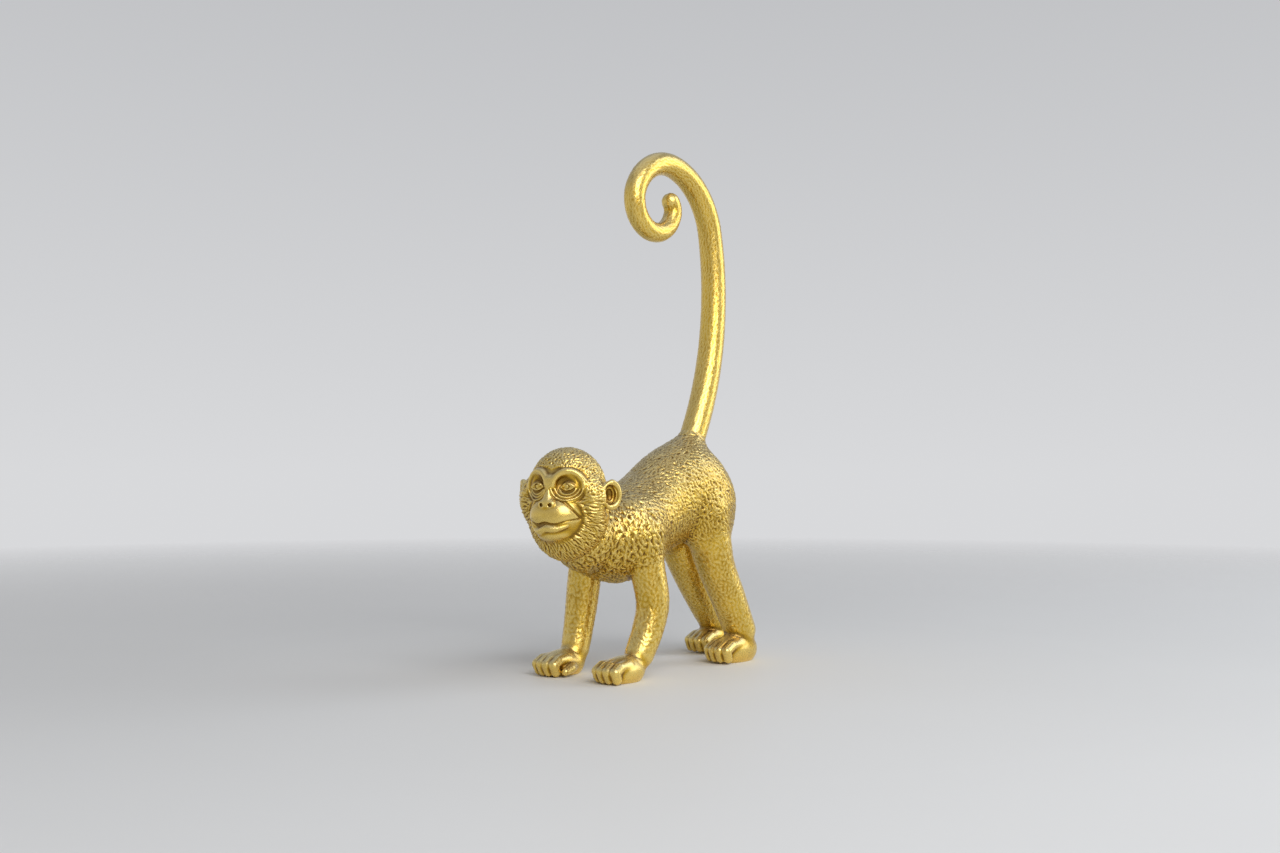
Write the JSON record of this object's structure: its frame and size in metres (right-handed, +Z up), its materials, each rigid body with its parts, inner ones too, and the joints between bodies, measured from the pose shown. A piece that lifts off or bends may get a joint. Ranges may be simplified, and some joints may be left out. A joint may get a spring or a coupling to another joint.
{
  "type": "monkey figurine",
  "caption": "Gold-painted cast resin monkey walking on all fours, head turned to its left, tail raised and curled forward; a free-standing shelf ornament.",
  "frame": {"origin": "floor level under the middle of the overall box", "axes": "+Z up, -Y the way the monkey walks, +X to the monkey's left"},
  "size_m": [0.0441, 0.1354, 0.2079],
  "materials": {
    "gold_resin": "metallic gold paint on cast resin, semi-gloss, darker in the recesses",
    "steel_wire": "drawn steel wire, bare"
  },
  "bodies": {
    "root": {"torso": "gold_resin", "head": "gold_resin", "left_arm": "gold_resin", "right_arm": "gold_resin", "left_leg": "gold_resin", "right_leg": "gold_resin", "tail": "gold_resin", "neck_dowel": "steel_wire", "left_arm_wire": "steel_wire", "right_arm_wire": "steel_wire", "left_leg_wire": "steel_wire", "right_leg_wire": "steel_wire", "tail_wire": "steel_wire"}
  },
  "joints": []
}
